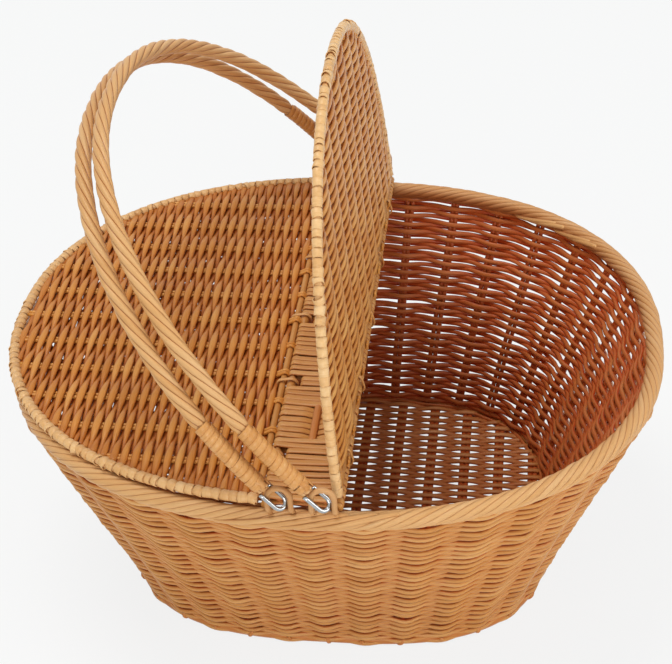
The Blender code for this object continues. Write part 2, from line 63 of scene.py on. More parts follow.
# Sizes that only the looks need.
GAP = 0.0003                  # left between pieces that touch in the real basket
CORE_R = 0.0034               # the core inside the rim and the handles
STRAND_R = 0.0019             # a strand of rope
RIM_STRANDS, RIM_LAY = 8, 0.066
HANDLE_STRANDS, HANDLE_LAY = 6, 0.073
RIM_LOOSE = 0.0003            # the rim's rope is this much thinner than its solid
STAKE_STEPS = 8               # points of a row from one stake to the next
STAKE_ENDS = (-0.035, 1.045)  # levels between which the stakes show
STAKE_APART = 0.0015          # half the distance between the two canes of a stake
ROW_R = 0.0013                # a row of the wall
FOOT_LEVEL = 0.004            # the wall's outline that the foot's rows follow
FOOT_ROWS = ((-1, 0.0067), (-2, 0.0045), (-3, 0.0024))
FOOT_STEPS = 600              # points of a ring round the foot
TUCK_SINK = 0.0018            # how deep the ends of a tuck dive into the rim's rope
LID_WAVE = 0.0019             # rise and fall of a lid's weavers over the ribs
RIB_PITCH, RIB_FIRST = 0.02615, 0.0228
LID_STEP = 0.00307            # from one weaver of a lid to the next
RIB_APART = 0.00125           # half the distance between the two canes of a rib
CROSSING_SHARE = 0.08         # of the loops round a lid's border cross their neighbours
LOOP_FAR, LOOP_STEP = 0.00252, 0.0050
BASE_STEP, BASE_PITCH, BASE_FIRST, BASE_Z = 0.0033, 0.0231, 0.0065, 0.0036
BASE_WAVE, BASE_APART = 0.0016, 0.0016
BRIDGE_START, BRIDGE_END = -0.1622, 0.1630
BRIDGE_STEP = 0.0044          # from one strip to the next
BRIDGE_BEND = 0.00215         # the turn of a strip round a rod
NOTCH_BEND = 0.0014           # the turn of a strip at the end of a notch
BRIDGE_SAG = 0.0008           # how much lower a strip is in its middle
BRIDGE_STICK = (-0.1175, -0.0815)
BRIDGE_DIP = (-0.1152, -0.0835)  # where strips dip under that stick
ROD_THIN = 0.0016             # a rod under the strips
ROD_BARE, ROD_END_BARE, ROD_STEP = 0.0052, 0.1645, 0.001
NOTCH = 0.0044                # half a notch of the bridge, where a binding turns
HOOK_R = 0.0029               # a rib's turn round the stick of its lid
WHIP_STEPS = 16               # points in one turn of a whipping
WHIP_FAR, WHIP_FIRST = 0.0045, 0.0016
WHIP_SQUEEZE = 0.83           # the rope's share of its size under the whippings
FLAP_WIDE, FLAP_TALL, FLAP_CROWN = 0.0047, 0.0046, 0.0160
STAPLE_WIDE, STAPLE_DEEP = 0.0037, 0.0042
# Half the thickness and half the width of the strands whose size doesn't change.
HALF = {
    "stake": (0.0012, 0.00165), "tuck": (0.0012, 0.0016), "foot_core": (0.0018, 0.0026),
    "turned_end": (0.0009, 0.0013), "foot_inside": (0.0012, 0.0015),
    "base_stick": (0.0011, 0.0018), "bridge_filler": (0.0007, 0.0016),
    "bridge_stick": (0.0011, 0.0021), "eye": (0.00155, 0.00155), "bent_rod": (0.0022, 0.0022),
    "binding": (0.00055, 0.0012), "whipping": (0.00030, 0.00208), "flap": (0.00028, 0.0013),
    "staple": (0.00118, 0.00118),
}
# Each lid: painted shade along its weavers' edges, painted light on its weavers (the open lid is
# drawn lighter), and tone of its border's winding (the shut lid's is drawn darker, painted shade).
LID_PAINTED_SHADING = {"left": (0.20, 0.0, -1.6), "right": (0.12, 1.2, 0.0)}

SEED_REACH = 7.0              # strands read their grain from places this far apart at most

# Directions, names of the sides and ends, and the angles round an eight-sided strand.
TURN = 2 * math.pi
UP = np.array([0.0, 0.0, 1.0])
ACROSS = np.array([1.0, 0.0, 0.0])
SIDES = ("left", "right")
ENDS = (("front", -1.0), ("back", 1.0))
TUBE_ANGLE = TURN * np.arange(8) / 8
# Masks of a strand's section, its outer face and its side edges, along which painted shade is
# laid.
TUBE_FACING = np.cos(TUBE_ANGLE)[None]
TUBE_EDGE = (np.abs(np.sin(TUBE_ANGLE)) > 0.9)[None]


def unit(vectors):
    return vectors / np.maximum(np.linalg.norm(vectors, axis=-1, keepdims=True), 1e-12)


def rows_of(x, y, z):
    """Points from their x, y and z, where a bare number holds all along."""
    return np.stack(np.broadcast_arrays(x, y, z), axis=1).astype(float)


def times(vector, amounts):
    """A vector, or one for each point, scaled by an amount for each point."""
    return vector * np.asarray(amounts)[:, None]


def signed_power(values, power):
    return np.sign(values) * np.abs(values) ** power


def ease(share):
    return share * share * (3 - 2 * share)


def lengths(path):
    """How far along its path each point lies."""
    return np.concatenate(([0.0], np.cumsum(np.linalg.norm(np.diff(path, axis=0), axis=1))))


def points_along(path, distances):
    run = lengths(path)
    return np.stack([np.interp(distances, run, path[:, i]) for i in range(3)], axis=1)


def resample(path, count):
    return points_along(path, np.linspace(0, lengths(path)[-1], count))


def smooth_noise(count, knots, amount, closed=False):
    """A soft random wander along a strand."""
    values = RANDOM.normal(0, amount, knots)
    if closed:
        values = np.append(values, values[0])
    else:
        values = np.append(values, RANDOM.normal(0, amount))
    at = np.linspace(0, knots, count, endpoint=not closed)
    low = np.floor(at).astype(int).clip(0, knots - 1)
    share = ease(at - low)
    return values[low] * (1 - share) + values[low + 1] * share


def cross_section(path, normal, closed):
    """The normals made square to the path, and the directions across both."""
    if closed:
        tangent = np.roll(path, -1, 0) - np.roll(path, 1, 0)
    else:
        tangent = np.gradient(path, axis=0)
    tangent = unit(tangent)
    normal = np.broadcast_to(np.asarray(normal, float), path.shape)
    normal = unit(normal - (normal * tangent).sum(1, keepdims=True) * tangent)
    return normal, np.cross(tangent, normal)


class Cane:
    """Strands gathered into one mesh, with the values that their material reads."""

    def __init__(self):
        self.points, self.faces, self.fibre, self.tone, self.deep = [], [], [], [], []
        self.count = 0

    def add(self, path, normal, thick, wide, tone=0.0, deep=0.0, closed=False, sides=8,
            power=1.0):
        """A tube along a path: thick along the normal, wide across it, boxy below power 1; its
        shade value is painted shade.
        """
        path = np.asarray(path, float)
        n = len(path)
        normal, across = cross_section(path, normal, closed)
        thick = np.broadcast_to(np.asarray(thick, float), (n,))
        wide = np.broadcast_to(np.asarray(wide, float), (n,))
        angle = TURN * np.arange(sides) / sides
        c, s = signed_power(np.cos(angle), power), signed_power(np.sin(angle), power)
        shape = (path[:, None] + normal[:, None] * (thick[:, None] * c)[..., None]
                 + across[:, None] * (wide[:, None] * s)[..., None])
        seed = RANDOM.random(3) * SEED_REACH
        run = np.broadcast_to(lengths(path)[:, None], (n, sides))
        fibre = np.stack([thick[:, None] * c, wide[:, None] * s, run], axis=-1) + seed
        deep = np.asarray(deep, float)
        deep = deep if deep.ndim == 2 else np.broadcast_to(deep, (n,))[:, None]
        self.grid(shape, fibre, tone + RANDOM.normal(0, 1), deep, closed, True)

    def grid(self, shape, fibre, tone, deep, closed, tube):
        """A net of quads: closed joins its last row to its first, tube its last column."""
        n, sides = shape.shape[:2]
        i = np.arange(n if closed else n - 1)[:, None] * sides
        j = np.arange(sides if tube else sides - 1)[None]
        k = (j + 1) % sides
        up = (i + sides) % (n * sides)
        faces = np.stack([i + j, i + k, up + k, up + j], axis=-1).reshape(-1, 4)
        if tube and not closed:
            ladder = np.array([[m, m + 1, sides - 2 - m, sides - 1 - m]
                               for m in range(sides // 2 - 1)])
            faces = np.concatenate([faces, ladder[:, ::-1], ladder + (n - 1) * sides])
        self.points.append(shape.reshape(-1, 3))
        self.faces.append(faces + self.count)
        self.fibre.append(fibre.reshape(-1, 3))
        self.tone.append(np.full(n * sides, tone))
        self.deep.append(np.broadcast_to(deep, (n, sides)).ravel())
        self.count += n * sides

    def piece(self, name, material, body, slot, *nodes):
        """The mesh of all strands, riding its body in place of the CAD's node."""
        points, faces = np.concatenate(self.points), np.concatenate(self.faces)
        mesh = bpy.data.meshes.new(name)
        mesh.vertices.add(len(points))
        mesh.vertices.foreach_set("co", points.astype(np.float32).ravel())
        mesh.loops.add(faces.size)
        mesh.loops.foreach_set("vertex_index", faces.astype(np.int32).ravel())
        mesh.polygons.add(len(faces))
        mesh.polygons.foreach_set("loop_start", (np.arange(len(faces)) * 4).astype(np.int32))
        mesh.polygons.foreach_set("use_smooth", np.ones(len(faces), bool))
        mesh.update(calc_edges=True)
        for label, kind, field in (("fibre", "FLOAT_VECTOR", "vector"),
                                   ("tone", "FLOAT", "value"), ("deep", "FLOAT", "value")):
            mesh.attributes.new(label, kind, "POINT").data.foreach_set(
                field, np.concatenate(getattr(self, label)).astype(np.float32).ravel())
        mesh.materials.append(material)
        item = bpy.data.objects.new(name, mesh)
        bpy.context.scene.collection.objects.link(item)
        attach(item, body)
        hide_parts(*nodes)


# ---------------------------------------------------------------- materials
# How much a strand's tone, its blotches and its flecks move its colour along the ramp.
TONE_SPREAD, BLOTCHES, FLECKS = 0.09, 0.45, 0.20


def new_material(name):
    material = bpy.data.materials.new(name)
    material.use_nodes = True
    return material, material.node_tree.nodes, material.node_tree.links


def add_node(nodes, links, kind, values, **settings):
    """A node with its settings, each input linked from a socket or set to a value."""
    node = nodes.new(kind)
    for key, value in settings.items():
        setattr(node, key, value)
    for key, value in values.items():
        if isinstance(value, bpy.types.NodeSocket):
            links.new(value, node.inputs[key])
        else:
            node.inputs[key].default_value = value
    return node


def cane_material(name, dark, mid, light, painted_shade_tint, rough, fibre_bump, coat, streaks=0.2):
    """Peeled cane: tone per strand, slow blotches, fine fibres along it, and painted shade: the
    colour tinted darker by each point's shade value.
    """
    material, nodes, links = new_material(name)
    shader = nodes["Principled BSDF"]

    def math_node(kind, a, b=0.0, c=0.0):
        return add_node(nodes, links, "ShaderNodeMath", {0: a, 1: b, 2: c},
                        operation=kind).outputs[0]

    fibre, tone, deep = (add_node(nodes, links, "ShaderNodeAttribute", {}, attribute_name=label)
                         for label in ("fibre", "tone", "deep"))

    def noise(scale, detail):
        scaled = add_node(nodes, links, "ShaderNodeVectorMath",
                          {0: fibre.outputs["Vector"], 1: scale}, operation="MULTIPLY")
        return add_node(nodes, links, "ShaderNodeTexNoise",
                        {"Vector": scaled.outputs[0], "Scale": 1.0, "Detail": detail,
                         "Roughness": 0.55}).outputs["Fac"]

    streak = noise((1500.0, 1500.0, 45.0), 2.0)
    blotch = noise((120.0, 120.0, 22.0), 2.0)
    fleck = noise((700.0, 700.0, 160.0), 1.0)
    value = math_node("MULTIPLY_ADD", tone.outputs["Fac"], TONE_SPREAD, 0.5)
    for grain, amount in ((blotch, BLOTCHES), (streak, streaks), (fleck, FLECKS)):
        value = math_node("MULTIPLY_ADD", math_node("SUBTRACT", grain, 0.5), amount, value)
    ramp = add_node(nodes, links, "ShaderNodeValToRGB", {0: value})
    stops = ramp.color_ramp.elements
    stops[0].position, stops[0].color = 0.05, (*dark, 1.0)
    stops[1].position, stops[1].color = 0.95, (*light, 1.0)
    middle = stops.new(0.5)
    middle.color = (*mid, 1.0)
    # Painted shade: the colour is multiplied towards the shade tint as far as each point's shade
    # value says.
    shade = nodes.new("ShaderNodeMix")
    shade.data_type, shade.blend_type = "RGBA", "MULTIPLY"
    links.new(deep.outputs["Fac"], shade.inputs[0])
    links.new(ramp.outputs["Color"], shade.inputs[6])
    shade.inputs[7].default_value = (*painted_shade_tint, 1.0)
    links.new(shade.outputs[2], shader.inputs["Base Color"])
    shine = math_node("MULTIPLY_ADD", math_node("SUBTRACT", streak, 0.5), 0.25, rough)
    links.new(shine, shader.inputs["Roughness"])
    shader.inputs["Specular IOR Level"].default_value = 0.18
    shader.inputs["Coat Weight"].default_value = coat
    shader.inputs["Coat Roughness"].default_value = 0.28
    bump = add_node(nodes, links, "ShaderNodeBump",
                    {"Height": streak, "Distance": fibre_bump, "Strength": 0.6})
    links.new(bump.outputs["Normal"], shader.inputs["Normal"])
    return material


def steel_material():
    material, nodes, links = new_material("bright_steel_wire")
    shader = nodes["Principled BSDF"]
    shader.inputs["Metallic"].default_value = 1.0
    coordinates = add_node(nodes, links, "ShaderNodeAttribute", {}, attribute_name="fibre")
    scaled = add_node(nodes, links, "ShaderNodeVectorMath",
                      {0: coordinates.outputs["Vector"], 1: (2600.0, 2600.0, 120.0)},
                      operation="MULTIPLY")
    drawn = add_node(nodes, links, "ShaderNodeTexNoise",
                     {"Vector": scaled.outputs[0], "Scale": 1.0, "Detail": 2.0})
    ramp = add_node(nodes, links, "ShaderNodeValToRGB", {0: drawn.outputs["Fac"]})
    ramp.color_ramp.elements[0].color = (0.32, 0.33, 0.33, 1.0)
    ramp.color_ramp.elements[1].color = (0.54, 0.55, 0.55, 1.0)
    links.new(ramp.outputs["Color"], shader.inputs["Base Color"])
    rough = add_node(nodes, links, "ShaderNodeMath",
                     {0: drawn.outputs["Fac"], 1: 0.14, 2: 0.07}, operation="MULTIPLY_ADD")
    links.new(rough.outputs[0], shader.inputs["Roughness"])
    return material


# Each cane: dark, mid and light colours, then the tint of its painted shade, roughness, bump and
# coat.
WEAVE = cane_material("woven_cane_satin", (0.45, 0.175, 0.036), (0.58, 0.268, 0.072),
                      (0.71, 0.410, 0.155), (0.80, 0.11, 0.02), 0.36, 0.00009, coat=0.06)
PANEL = cane_material("lid_cane_satin", (0.47, 0.160, 0.022), (0.64, 0.258, 0.046),
                      (0.80, 0.430, 0.125), (0.46, 0.07, 0.008), 0.33, 0.00009, coat=0.08)
ROPE = cane_material("rope_cane_satin", (0.55, 0.252, 0.075), (0.66, 0.368, 0.145),
                     (0.75, 0.490, 0.245), (0.42, 0.15, 0.045), 0.38, 0.00004, coat=0.05,
                     streaks=0.14)
WRAP = cane_material("flat_cane_gloss", (0.46, 0.180, 0.042), (0.63, 0.305, 0.095),
                     (0.78, 0.470, 0.200), (0.55, 0.21, 0.065), 0.30, 0.00010, coat=0.10,
                     streaks=0.45)
SLEEVE = cane_material("wound_cane_gloss", (0.64, 0.335, 0.120), (0.77, 0.470, 0.205),
                       (0.85, 0.590, 0.310), (0.55, 0.24, 0.08), 0.30, 0.00008, coat=0.10,
                       streaks=0.40)
STEEL = steel_material()


# ---------------------------------------------------------------- ovals
def oval_curve(angle, half_a, half_b, squareness):
    power = 2 / squareness
    return (half_a * signed_power(np.cos(angle), power),
            half_b * signed_power(np.sin(angle), power))


def oval_ring(half_x, half_y, squareness, shares):
    """Points of an oval at shares of its length, from the front middle, anticlockwise."""
    x, y = oval_curve(np.linspace(-math.pi / 2, 1.5 * math.pi, 2881), half_x, half_y, squareness)
    run = lengths(np.stack([x, y], axis=1))
    at = np.mod(shares, 1.0) * run[-1]
    x, y = np.interp(at, run, x), np.interp(at, run, y)
    normal_x = signed_power(x / half_x, squareness - 1) / half_x
    normal_y = signed_power(y / half_y, squareness - 1) / half_y
    return rows_of(x, y, 0.0), unit(rows_of(normal_x, normal_y, 0.0)), run[-1]


def oval_half(along, half_a, half_b, squareness):
    """Half the chord of an oval across a line at the distance along."""
    share = np.clip(1 - np.abs(along / half_a) ** squareness, 0, 1)
    return half_b * share ** (1 / squareness)


# ---------------------------------------------------------------- the wall's surface
GRID_LEVELS = np.linspace(-0.06, 1.10, 117)
GRID_SHARES = np.linspace(0, 1, 1441)
FOOT_X, FOOT_Y = BASE_X - FOOT_R, BASE_Y - FOOT_R


def wall_height(level):
    return WALL_LOW + (WALL_HIGH - WALL_LOW) * level


def wall_grid():
    """Rings of the flared wall, their outward directions and their lengths, level by level."""
    rings, outs, total = [], [], []
    for level in GRID_LEVELS:
        spread = level ** WALL_FLARE if level > 0 else level
        ring, normal, whole = oval_ring(FOOT_X + (RIM_X - FOOT_X) * spread,
                                        FOOT_Y + (RIM_Y - FOOT_Y) * spread,
                                        BASE_SQ + (RIM_SQ - BASE_SQ) * level, GRID_SHARES[:-1])
        ring[:, 2] = wall_height(level)
        rings.append(np.concatenate([ring, ring[:1]]))
        outs.append(np.concatenate([normal, normal[:1]]))
        total.append(whole)
    rings, outs = np.array(rings), np.array(outs)
    rise = unit(np.gradient(rings, axis=0))
    return rings, unit(np.cross(np.cross(UP, outs), rise)), np.array(total)


WALL_GRID, WALL_OUT, WALL_ROUND = wall_grid()


def wall_at(level, share):
    """The wall's middle surface and its outward direction."""
    level, share = np.broadcast_arrays(np.asarray(level, float), np.asarray(share, float))
    a = (level - GRID_LEVELS[0]) / (GRID_LEVELS[1] - GRID_LEVELS[0])
    b = np.mod(share, 1.0) * (len(GRID_SHARES) - 1)
    i = np.floor(a).astype(int).clip(0, len(GRID_LEVELS) - 2)
    j = np.floor(b).astype(int).clip(0, len(GRID_SHARES) - 2)
    p, q = (a - i)[..., None], (b - j)[..., None]

    def mix(grid):
        return ((grid[i, j] * (1 - q) + grid[i, j + 1] * q) * (1 - p)
                + (grid[i + 1, j] * (1 - q) + grid[i + 1, j + 1] * q) * p)

    return mix(WALL_GRID), unit(mix(WALL_OUT))


# Where a strand's section is drawn, as shares of its span from groove to groove.
STRAND_STOPS = np.array([0, 0.035, 0.10, 0.22, 0.40, 0.60, 0.78, 0.90, 0.965, 1.0])


def rope(cane, path, normal, radius, strands, lay_turns, closed, scale=1.0, uneven=0.00010,
         shade=0.0, groove_shade_scale=1.0):
    """Strands laid round a path like a rope, each drawn from groove to groove."""
    count = len(path)
    run = lengths(np.concatenate([path, path[:1]]) if closed else path)
    share = run[:count] / run[-1]
    normal, across = cross_section(path, normal, closed)
    half = math.pi / strands
    centre = radius - STRAND_R
    phase = np.array([TURN * k / strands - TURN * share * lay_turns
                      + RANDOM.normal(0, 0.03) + smooth_noise(count, 16, 0.035, closed)
                      for k in range(strands)])
    lift = np.array([smooth_noise(count, 22, uneven, closed) for _ in range(strands)])
    before = np.concatenate([phase[-1:] - TURN, phase[:-1]])
    groove = (phase + before) / 2
    next_groove = np.concatenate([groove[1:], groove[:1] + TURN])
    edge_lift = (lift + np.roll(lift, 1, axis=0)) / 2
    scale = np.broadcast_to(scale, (count,))
    for k in range(strands):
        start, end, middle = groove[k][:, None], next_groove[k][:, None], phase[k][:, None]
        angle = start * (1 - STRAND_STOPS) + end * STRAND_STOPS
        local = (angle - middle) / np.where(angle < middle, middle - start, end - middle)
        own = centre * np.cos(local * half) + np.sqrt(STRAND_R ** 2
                                                      - (centre * np.sin(local * half)) ** 2)
        near = np.where(local < 0, edge_lift[k][:, None], edge_lift[(k + 1) % strands][:, None])
        own = own + lift[k][:, None] * (1 - local ** 2) + near * local ** 2
        own = own * scale[:, None]
        shape = (path[:, None] + normal[:, None] * (own * np.cos(angle))[..., None]
                 + across[:, None] * (own * np.sin(angle))[..., None])
        seed = RANDOM.random(3) * SEED_REACH
        fibre = np.stack([local * STRAND_R, np.zeros_like(local),
                          np.broadcast_to(run[:count, None], local.shape)], axis=-1) + seed
        # Painted shade: darker in the grooves between strands, and, scaled by shade, all round
        # with more on the rope's inner lower side.
        groove_painted_shade = groove_shade_scale * np.clip((np.abs(local) - 0.80) / 0.20, 0, 1) ** 1.5
        underside_painted_shade = shade * (0.45 + np.clip(0.1 - np.cos(angle + 0.6), 0, 1))
        deep = np.maximum(groove_painted_shade, underside_painted_shade)
        cane.grid(shape, fibre, RANDOM.normal(0, 1), deep, closed, False)


# ---------------------------------------------------------------- basket body
# How a row lies: its wander, its dip between the stakes and its throw over them.
WALL_LAY, FOOT_LAY = (0.0030, 0.0055, 0.0026), (0.0006, 0.0, 0.0015)


def wall_row(cane, height, row, foot=False):
    """One ring of cane, over one stake and under the next; the foot's rows stack straight up."""
    steps = STAKES * STAKE_STEPS
    u = np.arange(steps) / STAKE_STEPS
    wave = np.cos(math.pi * (u + row))
    wander, dip, throw = FOOT_LAY if foot else WALL_LAY
    level = height + smooth_noise(steps, 24, wander, True) - dip * wave ** 2
    points, out = wall_at(np.full(steps, FOOT_LEVEL) if foot else level, u / STAKES)
    if foot:
        points[:, 2] = wall_height(level)
    bend = signed_power(wave, 1.9) * (1 + smooth_noise(steps, 72, 0.10, True))
    path = points + times(out, throw * bend)
    size = ROW_R * (1 + smooth_noise(steps, 36, 0.06, True))
    tall = size * (1.13 + 0.16 * np.abs(wave))
    # Painted shade: the row's inner side much darker, its outer side darker where it passes behind
    # a stake, and dark lines along its edges where the rows meet.
    outer = 0.10 - 0.10 * wave[:, None]
    inner = 0.70 + 0.20 * wave[:, None]
    seam_painted_shade = 0.42 * np.clip(1 + smooth_noise(steps, 90, 0.5, True), 0.3, 2.0) * (1 - 0.4 * wave)
    deep = np.where(TUBE_FACING > -0.1, outer, inner) + TUBE_EDGE * seam_painted_shade[:, None]
    roll = RANDOM.integers(steps)
    cane.add(np.roll(path, roll, 0), np.roll(out, roll, 0), np.roll(size, roll),
             np.roll(tall, roll), deep=np.clip(np.roll(deep, roll, 0), 0, 1), closed=True,
             power=0.85)


def make_wall():
    halves = (Cane(), Cane())
    for row in range(ROWS + 2):
        wall_row(halves[row >= ROWS // 2], (row + 0.5) / ROWS, row)
    halves[0].piece("wall_rows_lower", WEAVE, "basket", "woven_cane", "wall_weave")
    halves[1].piece("wall_rows_upper", WEAVE, "basket", "woven_cane", "wall_weave")
    stakes = Cane()
    level = np.linspace(*STAKE_ENDS, 44)
    around = np.interp(level, GRID_LEVELS, WALL_ROUND)
    for number in range(STAKES):
        for side in (-1, 1):
            sway = smooth_noise(len(level), 5, 0.0003)
            share = number / STAKES + (side * STAKE_APART + sway) / around
            points, out = wall_at(level, share)
            # Painted shade on the stakes, which sit behind the rows.
            stakes.add(points, out, *HALF["stake"], tone=-0.2, deep=0.70)
    stakes.piece("wall_stakes", WEAVE, "basket", "woven_cane", "wall_weave")


# Ends laid over the rim rope: first and last share of its length, first and last angle round it.
RIM_TUCKS = ((-0.042, 0.010, -30.0, 88.0), (-0.031, 0.021, -34.0, 84.0),
             (-0.018, 0.034, -36.0, 86.0), (-0.005, 0.044, -38.0, 84.0),
             (0.404, 0.376, 218.0, 148.0), (0.398, 0.370, 218.0, 148.0),
             (0.377, 0.349, 218.0, 147.0), (0.371, 0.343, 218.0, 147.0))


def make_rim():
    count = 800
    path, out, around = oval_ring(RIM_X, RIM_Y, RIM_SQ, np.arange(count) / count)
    path[:, 2] = RIM_Z
    cane = Cane()
    # Painted shade on the rim: heavier on its rear half and on its inner lower side; the grooves'
    # painted shade is lighter at the front.
    rope(cane, path, out, RIM_R - RIM_LOOSE, RIM_STRANDS, round(around / RIM_LAY), True,
         uneven=0.00012, shade=0.30 + 0.28 * out[:, 1:2],
         groove_shade_scale=np.clip(0.85 + 0.30 * out[:, 1:2], 0, 1))
    # The core inside the rope is painted fully in shade.
    cane.add(path, out, CORE_R, CORE_R, deep=1.0, closed=True)
    steps = 40
    for first, last, start, end in RIM_TUCKS:
        line, side, _ = oval_ring(RIM_X, RIM_Y, RIM_SQ, np.linspace(first, last, steps))
        line[:, 2] = RIM_Z
        angle = np.radians(np.linspace(start, end, steps))
        away = times(side, np.cos(angle)) + times(UP, np.sin(angle))
        shown = np.sin(math.pi * np.linspace(0, 1, steps)) ** 0.35
        # The tucks carry painted shade along their edges.
        cane.add(line + times(away, RIM_R - TUCK_SINK + TUCK_SINK * shown), away, *HALF["tuck"],
                 tone=-0.3, deep=np.repeat(0.6 * TUBE_EDGE, steps, 0))
    cane.piece("rim_rope", ROPE, "basket", "rope_cane", "rim_border")


def make_foot():
    """The border at the foot: the wall's first rows, and the stakes' ends turned under them."""
    cane = Cane()
    for row, height in FOOT_ROWS:
        wall_row(cane, (height - WALL_LOW) / (WALL_HIGH - WALL_LOW), row, True)
    shares = np.arange(FOOT_STEPS) / FOOT_STEPS
    ring, out, _ = oval_ring(FOOT_X, FOOT_Y, BASE_SQ, shares)
    # Painted shade: the core and the turned ends below a little darker.
    cane.add(ring + 0.0032 * UP, out, *HALF["foot_core"], closed=True, deep=0.25)
    path, out, _ = oval_ring(FOOT_X, FOOT_Y, BASE_SQ, np.arange(STAKES) / STAKES)
    steps = 12
    for number in range(STAKES):
        centre, side = path[number], out[number]
        along = np.array([-side[1], side[0], 0.0])
        start, far = ((60, 0.0025), (25, 0.0022))[number % 2]
        turn = np.radians(np.linspace(start, -95, steps))
        sway = (RANDOM.uniform(-0.002, 0.002)
                + RANDOM.uniform(-0.004, 0.004) * np.linspace(0, 1, steps))
        loop = (centre + times(side, far * np.cos(turn)) + times(along, sway)
                + times(UP, 0.0036 + 0.0024 * np.sin(turn)))
        cane.add(loop, times(side, np.cos(turn)) + times(UP, np.sin(turn)), *HALF["turned_end"],
                 deep=0.25)
    inside = FOOT_R - 0.0006
    ring, out, _ = oval_ring(FOOT_X - inside, FOOT_Y - inside, BASE_SQ, shares)
    for height, phase in ((0.0020, 0), (0.0046, 1)):
        wave = np.cos(math.pi * (STAKES * shares + phase))
        path = ring + times(out, 0.0008 * wave)
        path[:, 2] = height
        # Painted shade, heavier on the rows inside the foot.
        cane.add(path, out, *HALF["foot_inside"], closed=True, deep=0.55)
    cane.piece("foot_waling", WEAVE, "basket", "rope_cane", "foot_border")


def make_base():
    """Weavers along the basket over and under pairs of sticks that run front to back."""
    half_x, half_y = BASE_X - 2 * FOOT_R + 0.0015, BASE_Y - 2 * FOOT_R + 0.0015
    cane = Cane()
    for row, y in enumerate(np.arange(-half_y + 0.0022, half_y - 0.001, BASE_STEP)):
        reach = oval_half(y, half_y, half_x, BASE_SQ)
        x = np.linspace(-reach, reach, max(10, int(2 * reach / BASE_PITCH * 8)))
        wave = np.cos(math.pi * ((x - BASE_FIRST) / BASE_PITCH + row))
        path = rows_of(x, y + smooth_noise(len(x), 9, 0.00025), BASE_Z + BASE_WAVE * wave)
        # Painted shade: a weaver's top darker where it dips under the sticks, its lower face where
        # it rides over them.
        cane.add(path, UP, 0.00125, 0.00166 + 0.00016 * np.abs(wave), tone=1.2,
                 deep=0.42 - 0.20 * (TUBE_FACING * wave[:, None]))
    for number in range(-6, 6):
        x = BASE_FIRST + number * BASE_PITCH
        if abs(x) > half_x - 0.004:
            continue
        reach = oval_half(x, half_x, half_y, BASE_SQ)
        y = np.linspace(-reach, reach, 40)
        for side in (-1, 1):
            # The sticks under the weavers carry painted shade.
            cane.add(rows_of(x + side * BASE_APART, y, BASE_Z), UP, *HALF["base_stick"],
                     tone=-0.2, deep=0.7)
    cane.piece("base_panel", WEAVE, "basket", "woven_cane", "base_weave")


# ---------------------------------------------------------------- bridge, rods and eyes
def from_binding(y):
    """How far y lies from the nearest binding of the lids."""
    return np.min([np.abs(y - place * BINDING_STEP) for place in range(-2, 3)], axis=0)


def make_bridge():
    """Strips that wrap both rods, but for notches where the lids' bindings turn."""
    left_rod, right_rod = ROD_X["left"], ROD_X["right"]
    half_turn = np.linspace(math.pi / 2, -math.pi / 2, 9)
    c, s = np.cos(half_turn), np.sin(half_turn)
    share = np.linspace(0, 1, 17)[1:-1]
    flat = np.zeros(len(share))
    out = rows_of(np.concatenate([flat, c, flat, -c]), 0.0,
                  np.concatenate([flat + 1, s, flat - 1, -s]))
    cane = Cane()
    y = BRIDGE_START
    while y < BRIDGE_END:
        if from_binding(y) < NOTCH:
            bend, deepest = NOTCH_BEND, 0.0
            inset = 0.0029 + ROD_R + GAP + bend
        else:
            bend, deepest, inset = BRIDGE_BEND, BRIDGE_SAG, 0.0
        left, right = left_rod + inset, right_rod - inset
        top = left + (right - left) * share
        sag = deepest * np.sin(math.pi * share) ** 0.7
        high = bend - sag
        if BRIDGE_DIP[0] < y < BRIDGE_DIP[1]:
            high = high - 0.0020 * np.exp(-((top + 0.0015) / 0.0042) ** 2)
        x = np.concatenate([top, right + bend * c, top[::-1], left - bend * c])
        z = np.concatenate([high, bend * s, sag - bend, -bend * s])
        wide = 0.00222 + RANDOM.normal(0, 0.00016)
        skew = RANDOM.normal(0, 0.00030) * (x / 0.02)
        bow = RANDOM.normal(0, 0.0003) * np.cos(x / 0.013)
        # Painted shade along each strip's edges, where the strips meet.
        cane.add(rows_of(x, y + skew + bow, LEVEL + z), out, 0.00080, wide, closed=True,
                 deep=np.repeat(0.5 * TUBE_EDGE, len(x), 0))
        y += BRIDGE_STEP + abs(RANDOM.normal(0, 0.00030))
    # The fillers under the strips and the stick across them carry painted shade.
    y = np.linspace(-0.1635, 0.1635, 60)
    for x in (left_rod + 0.0068, (left_rod + right_rod) / 2, right_rod - 0.0068):
        cane.add(rows_of(x, y, LEVEL), UP, *HALF["bridge_filler"], deep=0.4)
    y = np.linspace(*BRIDGE_STICK, 24)
    lift = 0.0016 * np.clip(1 - (np.abs(y - np.mean(BRIDGE_STICK)) / 0.0178) ** 6, -0.6, 1)
    cane.add(rows_of(-0.0016, y, LEVEL + lift), UP, *HALF["bridge_stick"], tone=-0.4, deep=0.25)
    cane.piece("bridge_strands", WEAVE, "basket", "woven_cane", "bridge_weave")


def make_rods():
    """The hinge rods: thinner under the bridge's strips, full where the bindings turn."""
    y = np.linspace(-ROD_HALF, ROD_HALF, 220)
    full = np.maximum(np.clip((ROD_BARE - from_binding(y)) / ROD_STEP, 0, 1),
                      np.clip((np.abs(y) - ROD_END_BARE) / ROD_STEP, 0, 1))
    size = ROD_THIN + (ROD_R - ROD_THIN) * full
    for side in SIDES:
        stick = Cane()
        stick.add(rows_of(ROD_X[side], y, LEVEL), UP, size, size, tone=-0.4, sides=16)
        stick.piece(side + "_rod_cane", WEAVE, "basket", "woven_cane", side + "_hinge_rod")


